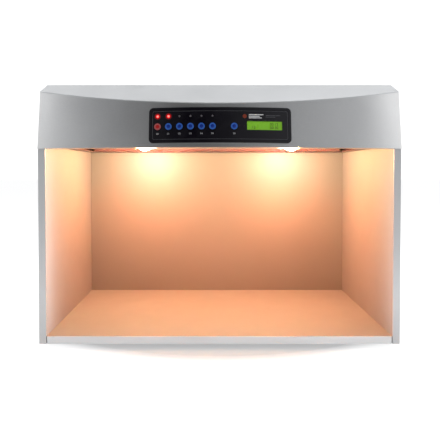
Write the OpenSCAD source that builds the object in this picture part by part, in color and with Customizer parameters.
// Table-top colour-assessment light booth.
// A grey sheet-steel cabinet with an open front. A bowed hood above the opening holds the
// lamps, their gear and a black control panel with seven keys, six indicators and a display.
// +X is to the viewer's right, -Y is the front, +Z is up. The origin is on the table, under
// the middle of the booth.

/* [Cabinet] */
// Width over the side panels
width = 710; // [700:5:760]
// Depth of the side panels, front edge to back
side_depth = 360; // [350:5:400]
// Thickness of the side panels and of the back
wall = 14; // [12:1:18]
// Thickness of the base
base_h = 15; // [13:1:20]
// Height of the rubber feet
foot_h = 9; // [7:1:14]
// Thickness of the steel sheet
sheet = 1.5; // [1:0.1:2]
// Gap at each end of the base, seen from the front as a dark line
base_seam = 1.7; // [0.5:0.1:3]

/* [Hood] */
// Height of the hood's lower edge over the base's underside
lip_rise = 384; // [370:1:410]
// Height of the ceiling over the hood's lower edge
ceiling_rise = 5; // [4:1:12]
// Height of the flat top over the base's underside
top_rise = 518; // [510:1:560]
// How far the hood's middle stands in front of the side panels
bulge = 60; // [50:1:70]
// How far the fascia bows forward between its ends
bow = 57; // [45:1:60]
// Angle at which the fascia leans back
lean = 8.3; // [5:0.1:12]
// Slope of the brow between the fascia and the flat top
brow_slope = 26.6; // [22:0.1:30]
// Distance of the flat top's front edge behind the side panels' front edge
brow_depth = 54; // [45:1:65]

/* [Control panel] */
// Width of the panel's bezel
panel_w = 262.5; // [258:0.5:265]
// Height of the panel's bezel, along the fascia
panel_h = 66.2; // [62:0.2:68]
// Height of the panel's centre over the fascia's lower edge, along the fascia
panel_rise = 41.5; // [40:0.1:43]
// Width of the bezel's raised rim
rim_w = 5; // [4:0.5:6]
// Distance between neighbouring keys
key_pitch = 20.2; // [18:0.1:20.4]
// Diameter of a key cap
key_d = 12.1; // [10:0.1:13]
// How far a key moves when it is pressed
key_travel = 1.2; // [0.5:0.1:1.4]

/* [Lamps] */
// Distance of each filament bulb from the middle of the booth
bulb_x = 172; // [150:1:190]
// Distance of the bulbs behind the side panels' front edge
bulb_depth = 180; // [170:1:190]
// Diameter of a bulb
bulb_d = 45; // [40:1:45]
// How far a bulb reaches below the ceiling
bulb_drop = 2; // [0:0.5:4]
// Diameter of a fluorescent tube
tube_d = 26; // [24:1:26]
// Length of a fluorescent tube between the faces of its end caps
tube_l = 590; // [580:1:590]
// Distance between the two tubes of a pair
tube_pitch = 35; // [30:1:37]
// Distance from the bulbs to the nearer tube of each pair
tube_clear = 60; // [55:1:60]

/* [Hidden] */

$fn = 48;
smooth = 720;
eps = 0.1;
gap = 0.2;

// Levels and planes
base_z = foot_h;
floor_z = base_z + base_h;
lip_z = base_z + lip_rise;
ceiling_z = lip_z + ceiling_rise;
top_z = base_z + top_rise;
rear_proud = 2;
rim_t = 2.6;
bezel_proud = rim_t * cos(lean) - (panel_rise - panel_h / 2) * sin(lean);
fore_y = -(side_depth + bulge + rear_proud - bezel_proud) / 2;
front_y = fore_y + bulge;
back_y = front_y + side_depth;
rear_y = back_y + rear_proud;
inner_x = width / 2 - wall;
lining_y = back_y - wall - sheet;
lining_top = ceiling_z + 35;

// Hood: the fascia's outside is a cylinder whose axis leans back
bow_r = (pow(width / 2, 2) + pow(bow, 2)) / (2 * bow);
brow_y = front_y + brow_depth;
brow_t = sheet / cos(brow_slope);
seat_y = front_y + 4;
function brow_z(y) = top_z + (y - brow_y) * tan(brow_slope);

// Lamps
tube_z = ceiling_z + 27;
cap_l = 11;
cap_d = tube_d - 0.4;
pin_r = 1.2;
pin_l = 7;
pin_offset = 6.35;
holder_x = tube_l / 2 + 0.4;
holder_l = 16;
holder_w = 25;
groove_gap = 0.2;
reflector_z = ceiling_z + 62;
reflector_t = 1.2;
reflector_x = 322;
bulb_y = front_y + bulb_depth;
bulb_z = ceiling_z - bulb_drop + bulb_d / 2;
bulb_neck_r = 11;
bulb_neck_z = bulb_z + bulb_d / 2 + 6;
screw_cap_r = 7;
screw_cap_l = 24;
aperture_x = tube_l / 2 + 23;
aperture_y0 = front_y + 12;
rear_strip = 46;
aperture_y1 = lining_y - rear_strip;
reflector_back_y = aperture_y1 + 10;
gear_z = reflector_z + reflector_t;

// Control panel, in thicknesses measured outwards from the fascia's outside
panel_corner = 8;
flange_t = 1;
face_t = 1;
window_w = panel_w - 2 * rim_w;
window_h = panel_h - 2 * rim_w;
collar_w = window_w - 2;
collar_h = window_h - 2;
ledge_w = window_w - 7;
ledge_h = window_h - 9;
collar_depth = 2;
board_depth = 9;
board_t = 1.6;
key_x0 = -panel_w / 2 + 16.25;
key_z = -2.5;
key_count = 6;
auto_key_x = key_x0 + 140.7;
key_proud = 1.2;
key_hole_r = key_d / 2 + 0.3;
led_z = 16.8;
led_r = 1.9;
display_x = panel_w / 2 - 49.25;
display_z = -0.6;
display_w = 65.5;
display_h = 17;
module_w = 80;
module_h = 36;
module_t = 7;
module_depth = 4;

// Feet, screws and vents
foot_d = 26;
foot_inset_x = 45;
foot_inset_y = 34;
screw_r = 1.9;
screw_head_r = 3.5;
side_screw_z = base_z + base_h / 2;

// Mains inlet and switch on the back
inlet_x = -250;
service_z = ceiling_z + 52;
inlet_w = 50;
inlet_h = 24;
plug_x = -9;
drawer_x = 18;
switch_x = -195;
rocker_r = 12;
rocker_w = 11.4;
rocker_y = back_y - 4;
rocker_tilt = 8;
trunnion_r = 1.5;

// ---------------------------------------------------------------- helpers

module box(x0, x1, y0, y1, z0, z1) {
    translate([x0, y0, z0]) cube([x1 - x0, y1 - y0, z1 - z0]);
}

// A shape drawn in the Y-Z plane, drawn out along X from x0 to x1
module along_x(x0, x1) {
    translate([x0, 0, 0]) rotate([90, 0, 90]) linear_extrude(x1 - x0) children();
}

// A cylinder along X that starts at x0
module rod_x(r, x0, x1, y, z) {
    translate([x0, y, z]) rotate([0, 90, 0]) cylinder(r = r, h = x1 - x0);
}

// A rectangle with round corners, centred
module round_rect(w, h, r) {
    square([w - 2 * r, h], center = true);
    square([w, h - 2 * r], center = true);
    for (sx = [-1, 1], sy = [-1, 1])
        translate([sx * (w / 2 - r), sy * (h / 2 - r)]) circle(r = r);
}

// A slot with round ends, l long and w wide, centred
module slot(l, w) {
    square([l - w, w], center = true);
    for (s = [-1, 1]) translate([s * (l - w) / 2, 0]) circle(d = w, $fn = 24);
}

// Places children in the fascia's own frame: +Z up along it, -Y out of it
module on_fascia() {
    translate([0, fore_y, lip_z]) rotate([-lean, 0, 0]) children();
}

// Everything between two distances out of the fascia's outside (inwards is negative)
module bowed_layer(inner, outer) {
    translate([0, bow_r, -60]) difference() {
        cylinder(r = bow_r + outer, h = 300, $fn = smooth);
        translate([0, 0, -eps]) cylinder(r = bow_r + inner, h = 300 + 2 * eps, $fn = smooth);
    }
}

// Turns children round the fascia's axis, to the place x along it
module at_bow(x, z = 0) {
    translate([0, bow_r, panel_rise + z])
        rotate([0, 0, asin(x / bow_r)])
            translate([0, -bow_r, 0]) children();
}

// A cylinder straight out of the fascia between two distances
module stud(r, inner, outer) {
    translate([0, -inner, 0]) rotate([90, 0, 0]) cylinder(r = r, h = outer - inner);
}

// A block cut through the panel, in the shape of the child drawing
module through_panel(x = 0, z = 0) {
    translate([x, 60, panel_rise + z]) rotate([90, 0, 0]) linear_extrude(120) children();
}

function key_places() = [for (i = [0:key_count - 1]) key_x0 + i * key_pitch];

// ---------------------------------------------------------------- cabinet

// Side panel's outline in the Y-Z plane, drawn in by the given amount
function side_outline(inset) =
    let (
        y0 = front_y + inset,
        y1 = back_y - inset,
        z0 = base_z + inset,
        top = top_z - sheet - eps - inset,
        slope = tan(lean),
        brow = tan(brow_slope),
        // height at which the leaning front edge meets the underside of the brow
        cut = 0.3 + brow_t + inset / cos(brow_slope),
        cz = (brow_z(0) - cut + brow * (y0 - slope * lip_z)) / (1 - brow * slope),
        cy = y0 + slope * (cz - lip_z),
        dy = brow_y + (top - brow_z(brow_y) + cut) / brow
    )
    [[y0, z0], [y0, lip_z], [cy, cz], [dy, top], [y1, top], [y1, z0]];

module side_screw_places() {
    for (y = [front_y + 40, (front_y + back_y) / 2, back_y - 40])
        translate([0, y, side_screw_z]) children();
}

// Countersunk screw along +Z with its head's face at z = 0 and a cross recess in it.
// With some clearance it is the hole for that screw, and has no recess.
module countersunk_screw(length, clear) {
    difference() {
        union() {
            cylinder(r1 = screw_head_r + clear, r2 = screw_r + clear, h = sheet + clear);
            cylinder(r = screw_r + clear, h = length + clear);
        }
        if (clear == 0)
            for (turn = [0, 90]) rotate([0, 0, turn]) cube([3.6, 0.8, 1.8], center = true);
    }
}

module side_screw(clear = 0) rotate([0, 90, 0]) countersunk_screw(19, clear);

module side_skin() {
    difference() {
        along_x(-width / 2, -inner_x) polygon(side_outline(0));
        along_x(-width / 2 + sheet, -inner_x + eps) polygon(side_outline(sheet));
        translate([-width / 2, 0, 0]) side_screw_places() side_screw(clear = 0.05);
        top_screw_places() top_screw(clear = 0.05);
    }
}

module side_lining() {
    difference() {
        intersection() {
            along_x(-inner_x - sheet, -inner_x) polygon(side_outline(sheet + gap));
            box(-width, width, -width, width, 0, lining_top);
        }
        translate([-width / 2, 0, 0]) side_screw_places() side_screw(clear = 0.05);
    }
}

module side_skin_left() color("gainsboro") side_skin();
module side_skin_right() color("gainsboro") mirror([1, 0, 0]) side_skin();
module side_lining_left() color("darkgray") side_lining();
module side_lining_right() color("darkgray") mirror([1, 0, 0]) side_lining();

module both_sides() {
    children();
    mirror([1, 0, 0]) children();
}

module side_screws() {
    color("silver")
        both_sides() translate([-width / 2, 0, 0]) side_screw_places() side_screw();
}

module back_skin() {
    x = inner_x - 0.3;
    top = top_z - sheet - eps;
    color("gainsboro") difference() {
        box(-x, x, back_y - wall, back_y, base_z, top);
        box(-x + sheet, x - sheet, back_y - wall - eps, back_y - sheet, base_z + sheet, top - sheet);
        for (i = [-12:12])
            translate([i * 18, back_y + eps, top_z - 34])
                rotate([90, 90, 0]) linear_extrude(2 * sheet) slot(34, 5);
        box(inlet_x - inlet_w / 2 - gap, inlet_x + inlet_w / 2 + gap, back_y - 2 * sheet,
            back_y + eps, service_z - inlet_h / 2 - gap, service_z + inlet_h / 2 + gap);
        box(switch_x - 7.7, switch_x + 7.7, back_y - 2 * sheet, back_y + eps,
            service_z - 13.7, service_z + 13.7);
    }
}

module back_lining() {
    x = inner_x - gap;
    color("darkgray") box(-x, x, lining_y, lining_y + sheet, base_z + 3, lining_top);
}

// Tray that is open below, with its front edge raised by the thickness of the floor lining
module base_tray() {
    x = inner_x - base_seam;
    color("gainsboro") difference() {
        box(-x, x, front_y, lining_y - gap, base_z, floor_z);
        box(-x - eps, x + eps, front_y + sheet, lining_y, floor_z - sheet, floor_z + eps);
        box(-x + sheet, x - sheet, front_y + sheet, lining_y - gap - sheet, base_z - eps,
            floor_z - 2 * sheet);
        both_sides() translate([-width / 2, 0, 0]) side_screw_places() side_screw(clear = 0.05);
    }
}

module floor_lining() {
    x = inner_x - gap;
    color("darkgray")
        box(-x, x, front_y + sheet + 0.05, lining_y - gap, floor_z - sheet, floor_z);
}

module foot_places() {
    for (sx = [-1, 1], y = [front_y + foot_inset_y, back_y - foot_inset_y - wall])
        translate([sx * (width / 2 - foot_inset_x), y, 0]) children();
}

module bottom_cover() {
    x = inner_x - base_seam - sheet - gap;
    color("silver") difference() {
        box(-x, x, front_y + sheet + gap, lining_y - 2 * gap - sheet, base_z, base_z + sheet);
        foot_places() translate([0, 0, base_z - eps]) cylinder(r = 2.05, h = 2 * sheet);
    }
}

module feet() {
    color("dimgray") foot_places() difference() {
        cylinder(r1 = foot_d / 2 - 2, r2 = foot_d / 2, h = foot_h);
        translate([0, 0, -eps]) cylinder(r = 4.6, h = 4 + eps);
        cylinder(r = 2.05, h = foot_h + eps);
    }
}

module foot_screws() {
    color("silver") foot_places() {
        translate([0, 0, 4 - 2.4]) difference() {
            cylinder(r = 4.2, h = 2.4);
            translate([0, 0, -eps]) cylinder(r = 1.6, h = 1.2, $fn = 6);
        }
        translate([0, 0, 4]) cylinder(r = 2, h = foot_h - 4 + sheet + 3);
    }
}

// ---------------------------------------------------------------- hood

module top_screw_places() {
    for (y = [front_y + 90, (front_y + back_y) / 2 + 45, back_y - 20])
        translate([-width / 2 + wall / 2, y, top_z]) children();
}

module top_screw(clear = 0) rotate([180, 0, 0]) countersunk_screw(8, clear);

module cover_screws() {
    color("silver") both_sides() top_screw_places() top_screw();
}

module hood_fascia() {
    lip_x = inner_x - 0.5;
    color("silver") difference() {
        union() {
            // bowed front sheet, from the lower edge to the underside of the brow
            intersection() {
                on_fascia() bowed_layer(-sheet, 0);
                along_x(-width / 2, width / 2) polygon([
                    [fore_y - 5, lip_z], [brow_y, lip_z], [brow_y, brow_z(brow_y) - brow_t],
                    [fore_y - 5, brow_z(fore_y - 5) - brow_t]]);
            }
            // lower edge folded back to the ceiling, with an upstand along its rear
            intersection() {
                on_fascia() translate([0, bow_r, -60]) cylinder(r = bow_r - sheet / 2, h = 300,
                                                                $fn = smooth);
                box(-lip_x, lip_x, fore_y, seat_y, lip_z, lip_z + sheet);
            }
            box(-lip_x, lip_x, seat_y - sheet, seat_y, lip_z, ceiling_z + sheet);
        }
        on_fascia() intersection() {
            through_panel() round_rect(collar_w + 0.6, collar_h + 0.6, panel_corner - rim_w);
            bowed_layer(-3 * sheet, sheet);
        }
    }
}

module hood_cover() {
    nose = fore_y - 5;
    color("gainsboro") difference() {
        intersection() {
            along_x(-width / 2, width / 2) polygon([
                [nose, brow_z(nose)], [brow_y, top_z], [back_y, top_z], [back_y, top_z - sheet],
                [brow_y + sheet * tan(brow_slope / 2), top_z - sheet],
                [nose, brow_z(nose) - brow_t]]);
            on_fascia() translate([0, bow_r, -60]) cylinder(r = bow_r, h = 400, $fn = smooth);
        }
        for (side = [-1, 1], i = [0:11])
            translate([side * (80 + i * 16), back_y - 90, top_z - 2 * sheet])
                rotate([0, 0, 90]) linear_extrude(3 * sheet) slot(60, 5);
        both_sides() top_screw_places() top_screw(clear = 0.05);
    }
}

module ceiling_panel() {
    x = inner_x - 0.4;
    y1 = lining_y - gap;
    color("darkgray") {
        difference() {
            box(-x, x, seat_y + gap, y1, ceiling_z, ceiling_z + sheet);
            box(-aperture_x, aperture_x, aperture_y0, aperture_y1, ceiling_z - eps,
                ceiling_z + 2 * sheet);
        }
        for (s = [-1, 1])
            translate([s * (x - sheet / 2) - sheet / 2, seat_y + gap, ceiling_z])
                cube([sheet, y1 - seat_y - gap, 12]);
    }
}

module reflector() {
    z0 = ceiling_z + sheet + gap;
    z1 = reflector_z;
    y0 = seat_y + 2.5;
    y1 = seat_y + 9;
    y2 = reflector_back_y - 10;
    y3 = reflector_back_y;
    t = reflector_t;
    color("white") difference() {
        along_x(-reflector_x, reflector_x) polygon([
            [y0, z0], [y1, z1 + t], [y2, z1 + t], [y3, z0], [y3 - t, z0], [y2 - t, z1],
            [y1 + t, z1], [y0 + t, z0]]);
        for (s = [-1, 1])
            translate([s * bulb_x, bulb_y, z1 - eps]) cylinder(r = 14.5, h = 2);
    }
}

// ---------------------------------------------------------------- lamps

// Tubes 0 and 1 are in front of the bulbs, 2 and 3 behind them
function tube_y(i) =
    i < 2 ? bulb_y - tube_clear - (1 - i) * tube_pitch
          : bulb_y + tube_clear + (i - 2) * tube_pitch;

module tube_glass(i) {
    half = tube_l / 2 - cap_l;
    difference() {
        rod_x(tube_d / 2, -half, half, tube_y(i), tube_z);
        rod_x(tube_d / 2 - 0.9, -half - eps, half + eps, tube_y(i), tube_z);
    }
}

// Two end caps, each with two contact pins that lie level
module tube_caps(i) {
    for (s = [0, 1]) mirror([s, 0, 0]) {
        rod_x(cap_d / 2, tube_l / 2 - cap_l, tube_l / 2, tube_y(i), tube_z);
        for (side = [-1, 1])
            rod_x(pin_r, tube_l / 2, tube_l / 2 + pin_l, tube_y(i) + side * pin_offset, tube_z);
    }
}

module tube_daylight() color("whitesmoke") tube_glass(0);
module tube_store() color("whitesmoke") tube_glass(1);
module tube_cool_white() color("whitesmoke") tube_glass(2);
module tube_uv() color("midnightblue") tube_glass(3);
module caps_daylight() color("silver") tube_caps(0);
module caps_store() color("silver") tube_caps(1);
module caps_cool_white() color("silver") tube_caps(2);
module caps_uv() color("silver") tube_caps(3);

// Holder with a ring groove in which the pins turn, and a slot down to let them in
module tube_holder(i) {
    depth = pin_l + 1;
    y = tube_y(i);
    difference() {
        union() {
            rod_x(holder_w / 2, holder_x, holder_x + holder_l, y, tube_z - 4);
            box(holder_x, holder_x + holder_l, y - holder_w / 2, y + holder_w / 2, tube_z - 4,
                reflector_z - 0.05);
        }
        difference() {
            rod_x(pin_offset + pin_r + groove_gap, holder_x - eps, holder_x + depth, y, tube_z);
            rod_x(pin_offset - pin_r - groove_gap, holder_x - 2 * eps, holder_x + depth + eps, y,
                  tube_z);
        }
        box(holder_x - eps, holder_x + depth, y - pin_r - groove_gap, y + pin_r + groove_gap,
            tube_z - 30, tube_z - pin_offset);
    }
}

module tube_holders() {
    color("ivory") both_sides() for (i = [0:3]) tube_holder(i);
}

module bulb_glass(side) {
    r = bulb_d / 2;
    translate([side * bulb_x, bulb_y, bulb_z]) {
        sphere(r = r);
        translate([0, 0, r * 0.62])
            cylinder(r1 = r * 0.784, r2 = bulb_neck_r, h = bulb_neck_z - bulb_z - r * 0.62);
    }
}

module bulb_left() color("lightyellow") bulb_glass(-1);
module bulb_right() color("lightyellow") bulb_glass(1);

module bulb_caps() {
    color("gold") both_sides() translate([-bulb_x, bulb_y, bulb_neck_z]) {
        difference() {
            cylinder(r = screw_cap_r, h = screw_cap_l);
            for (i = [0:3])
                translate([0, 0, 5 + i * 4]) difference() {
                    cylinder(r = screw_cap_r + 1, h = 1.2);
                    translate([0, 0, -eps]) cylinder(r = screw_cap_r - 0.5, h = 1.4);
                }
        }
        translate([0, 0, screw_cap_l]) cylinder(r = 3, h = 1);
    }
}

module bulb_holders() {
    color("ivory") both_sides() translate([-bulb_x, bulb_y, bulb_neck_z + 2]) difference() {
        union() {
            cylinder(r = 14, h = screw_cap_l + 12);
            translate([0, 0, gear_z + 0.05 - bulb_neck_z - 2]) cylinder(r = 20, h = 3);
        }
        translate([0, 0, -eps]) cylinder(r = screw_cap_r + gap, h = screw_cap_l - 1 + gap);
    }
}

// ---------------------------------------------------------------- lamp gear

module ballasts() {
    l = 230;
    w = 30;
    h = 22;
    z = gear_z + 0.05;
    color("lightgray") for (s = [-1, 1], y = [front_y + 26, front_y + 70])
        translate([s * 175, y + w / 2, z]) {
            translate([-l / 2, -w / 2, 0]) cube([l, w, h]);
            difference() {
                translate([-l / 2 - 12, -w / 2, 0]) cube([l + 24, w, 1.2]);
                for (e = [-1, 1])
                    translate([e * (l / 2 + 6), 0, -eps]) cylinder(r = 2.2, h = 2);
            }
        }
}

module power_supply() {
    z = gear_z + 0.05;
    color("dimgray") {
        box(-45, 45, front_y + 115, front_y + 180, z, z + 30);
        for (x = [-30, -10, 10, 30])
            box(x - 4, x + 4, front_y + 107, front_y + 115, z, z + 10);
    }
}

relay_y0 = bulb_y + 30;
relay_y1 = relay_y0 + 75;
spacer_h = 8;
relay_board_z = gear_z + spacer_h;

module relay_spacer_places() {
    for (x = [-94, 94], y = [relay_y0 + 6, relay_y1 - 6])
        translate([x, y, gear_z]) children();
}

module relay_board() {
    color("seagreen") difference() {
        box(-100, 100, relay_y0, relay_y1, relay_board_z, relay_board_z + board_t);
        relay_spacer_places() cylinder(r = 1.6, h = 20);
    }
}

module relay_spacers() {
    color("silver") relay_spacer_places() {
        cylinder(r = 3, h = spacer_h);
        cylinder(r = 1.5, h = spacer_h + board_t + 2);
    }
}

module relays() {
    z = relay_board_z + board_t;
    color("royalblue") for (i = [0:5])
        box(-84 + i * 29, -84 + i * 29 + 20, relay_y0 + 36, relay_y0 + 52, z, z + 16);
}

module terminal_block() {
    z = gear_z;
    x0 = -230;
    pitch = 12;
    color("ivory") difference() {
        box(x0, x0 + 6 * pitch, relay_y0 + 20, relay_y0 + 42, z, z + 16);
        for (i = [0:5], y = [relay_y0 + 26, relay_y0 + 36])
            translate([x0 + (i + 0.5) * pitch, y, z + 6]) cylinder(r = 2.6, h = 12);
    }
}

// One bundle of wires that follows a list of points, with a tie round each bend
module bundle(points, r) {
    for (i = [0:len(points) - 2]) {
        from = points[i];
        run = points[i + 1] - from;
        reach = norm(run);
        translate(from) rotate([0, acos(run[2] / reach), atan2(run[1], run[0])])
            cylinder(r = r, h = reach);
    }
    for (i = [1:len(points) - 2]) translate(points[i]) sphere(r = 1.2 * r);
}

module wiring_loom() {
    low = gear_z + 20;
    high = gear_z + 34;
    rear = relay_y0 + 31;
    behind = reflector_back_y + 14;
    color("dimgray") {
        // inlet and switch to the terminal block
        bundle([[inlet_x, rear_y - 28, service_z], [inlet_x, behind, service_z],
                [inlet_x, behind, low], [inlet_x, rear, low], [-224, rear, low]], 3);
        // terminal block to the relay board and up to the ballasts
        bundle([[-164, rear, low], [-130, rear, low], [-130, rear, high], [-130, bulb_y, high],
                [-50, bulb_y, high], [-50, front_y + 63, high], [-50, front_y + 63, gear_z + 14],
                [50, front_y + 63, gear_z + 14]], 3);
    }
}

// ---------------------------------------------------------------- mains inlet and switch

// Opening of the inlet: a rectangle with its two top corners cut off
module plug_outline(w, h, cut) {
    polygon([[-w / 2, -h / 2], [w / 2, -h / 2], [w / 2, h / 2 - cut], [w / 2 - cut, h / 2],
             [-w / 2 + cut, h / 2], [-w / 2, h / 2 - cut]]);
}

// Places children at the inlet with +Z pointing out of the back and +Y up
module at_back(x, y) {
    translate([x, y, service_z]) rotate([90, 0, 180]) children();
}

module power_inlet() {
    color("black") at_back(inlet_x, rear_y) difference() {
        union() {
            translate([0, 0, -rear_proud]) linear_extrude(rear_proud)
                round_rect(inlet_w + 8, inlet_h + 6, 3);
            translate([-inlet_w / 2, -inlet_h / 2, -28]) cube([inlet_w, inlet_h, 28 - eps]);
        }
        translate([plug_x, 0, -17]) linear_extrude(18) plug_outline(24, 16.4, 4);
        translate([drawer_x - 5, -10, -23]) cube([10, 20, 24]);
    }
}

module inlet_blades() {
    color("silver") at_back(inlet_x, rear_y) {
        for (x = [-7, 7]) translate([plug_x + x - 1, -4, -17]) cube([2, 4, 14]);
        translate([plug_x - 1, 2, -17]) cube([2, 4, 15]);
    }
}

module fuse_drawer() {
    color("dimgray") at_back(inlet_x, rear_y) difference() {
        translate([drawer_x - 4.7, -9.7, -22.6]) cube([9.4, 19.4, 22.4]);
        translate([drawer_x - 4.8, -3, -21.8]) cube([5.7, 6, 20]);
        translate([drawer_x - 2.5, 6.4, -1.6]) cube([5, 3.4, 1.5]);
    }
}

module fuse_link() {
    color("silver") at_back(inlet_x, rear_y)
        translate([drawer_x - 1.7, 0, -21.8]) cylinder(r = 2.6, h = 20);
}

module switch_frame() {
    color("black") difference() {
        at_back(switch_x, rear_y) {
            translate([0, 0, -rear_proud]) linear_extrude(rear_proud) round_rect(21, 33, 2);
            translate([-7.5, -13.5, -24]) cube([15, 27, 24 - eps]);
        }
        box(switch_x - 6, switch_x + 6, back_y - 13, rear_y + eps, service_z - 12.35,
            service_z + 12.35);
        rod_x(trunnion_r + 0.06, switch_x - 7, switch_x + 7, rocker_y, service_z);
    }
}

// Rocker with a shallow V in its face, tilted so that its upper half is pressed in
module switch_rocker() {
    half = rocker_w / 2;
    rise = 0.5 + rocker_r * tan(rocker_tilt);
    color("black") translate([switch_x, rocker_y, service_z]) rotate([rocker_tilt, 0, 0]) {
        intersection() {
            rod_x(rocker_r, -half, half, 0, 0);
            along_x(-half, half) polygon([
                [-5, -rocker_r], [rise, -rocker_r], [0.5, 0], [rise, rocker_r], [-5, rocker_r]]);
        }
        rod_x(trunnion_r, -half - 1, half + 1, 0, 0);
    }
}

// ---------------------------------------------------------------- control panel

module control_bezel() {
    color("black") on_fascia() difference() {
        union() {
            intersection() {
                through_panel() round_rect(panel_w, panel_h, panel_corner);
                bowed_layer(0, rim_t);
            }
            intersection() {
                through_panel() round_rect(collar_w, collar_h, panel_corner - rim_w);
                bowed_layer(-collar_depth, flange_t);
            }
        }
        through_panel() round_rect(ledge_w, ledge_h, 2);
        intersection() {
            through_panel() round_rect(window_w, window_h, panel_corner - rim_w);
            bowed_layer(flange_t, rim_t + 1);
        }
    }
}

module control_face() {
    color("black") on_fascia() difference() {
        intersection() {
            through_panel() round_rect(window_w - 0.4, window_h - 0.4, panel_corner - rim_w);
            bowed_layer(flange_t, flange_t + face_t);
        }
        for (x = concat(key_places(), [auto_key_x]))
            at_bow(x, key_z) stud(key_hole_r, -5, 5);
        for (x = key_places())
            at_bow(x, led_z) stud(led_r + 0.15, -5, 5);
        through_panel(display_x, display_z) square([display_w, display_h], center = true);
    }
}

module display_window() {
    color("lightgreen") on_fascia() intersection() {
        through_panel(display_x, display_z) square([display_w - 0.1, display_h - 0.1], center = true);
        bowed_layer(flange_t, flange_t + face_t);
    }
}

module display_panel() {
    color("greenyellow") on_fascia() at_bow(display_x, display_z)
        translate([-display_w / 2, module_depth - 1, -display_h / 2])
            cube([display_w, 1, display_h]);
}

module display_module() {
    color("darkslategray") on_fascia() at_bow(display_x, display_z) difference() {
        translate([-module_w / 2, module_depth - 1, -module_h / 2])
            cube([module_w, module_t, module_h]);
        translate([-display_w / 2 - 0.05, module_depth - 2, -display_h / 2 - 0.05])
            cube([display_w + 0.1, 2, display_h + 0.1]);
    }
}

// Flexible board bonded to a bowed backing, behind the keys and the indicators
module control_board() {
    color("darkgreen") on_fascia() intersection() {
        through_panel(-42) square([158, 43], center = true);
        bowed_layer(-board_depth - board_t, -board_depth);
    }
}

module key_switches() {
    color("gray") on_fascia() for (x = concat(key_places(), [auto_key_x]))
        at_bow(x, key_z) {
            translate([-3, board_depth - 3.5, -3]) cube([6, 3.48, 6]);
            stud(1.7, -board_depth + 3.4, -board_depth + 4.3);
        }
}

module indicator(x) {
    at_bow(x, led_z) {
        stud(led_r, -board_depth + 0.05, flange_t + face_t);
        translate([0, -flange_t - face_t, 0]) sphere(r = led_r);
    }
}

module indicators_lit() {
    color("red") on_fascia() for (i = [0, 1]) indicator(key_places()[i]);
}

module indicators_unlit() {
    color("gray") on_fascia() for (i = [2:key_count - 1]) indicator(key_places()[i]);
}

// Key cap with a raised ring, a flange that keeps it in and a stem to its switch
module key_cap(x) {
    front = rim_t + key_proud;
    on_fascia() at_bow(x, key_z) difference() {
        union() {
            stud(key_d / 2, 0, front);
            stud(key_d / 2 + 1.4, -0.5, flange_t - 0.3);
            stud(1.8, -board_depth + 4.3 + key_travel + 0.3, 0);
        }
        stud(key_d / 2 - 2.4, front - 0.6, front + 1);
    }
}

module key_power() color("firebrick") key_cap(key_places()[0]);
module key_filament() color("royalblue") key_cap(key_places()[1]);
module key_daylight() color("royalblue") key_cap(key_places()[2]);
module key_store() color("royalblue") key_cap(key_places()[3]);
module key_uv() color("royalblue") key_cap(key_places()[4]);
module key_cool_white() color("royalblue") key_cap(key_places()[5]);
module key_auto() color("royalblue") key_cap(auto_key_x);

// ---------------------------------------------------------------- assembly

side_skin_left();
side_skin_right();
side_lining_left();
side_lining_right();
back_skin();
back_lining();
base_tray();
floor_lining();
bottom_cover();
feet();
foot_screws();
hood_fascia();
hood_cover();
cover_screws();
side_screws();
ceiling_panel();
reflector();
tube_holders();
tube_daylight();
tube_store();
tube_cool_white();
tube_uv();
caps_daylight();
caps_store();
caps_cool_white();
caps_uv();
bulb_left();
bulb_right();
bulb_caps();
bulb_holders();
ballasts();
power_supply();
relay_board();
relay_spacers();
relays();
terminal_block();
wiring_loom();
power_inlet();
inlet_blades();
fuse_drawer();
fuse_link();
switch_frame();
switch_rocker();
control_bezel();
control_face();
control_board();
key_switches();
display_window();
display_panel();
display_module();
indicators_lit();
indicators_unlit();
key_power();
key_filament();
key_daylight();
key_store();
key_uv();
key_cool_white();
key_auto();
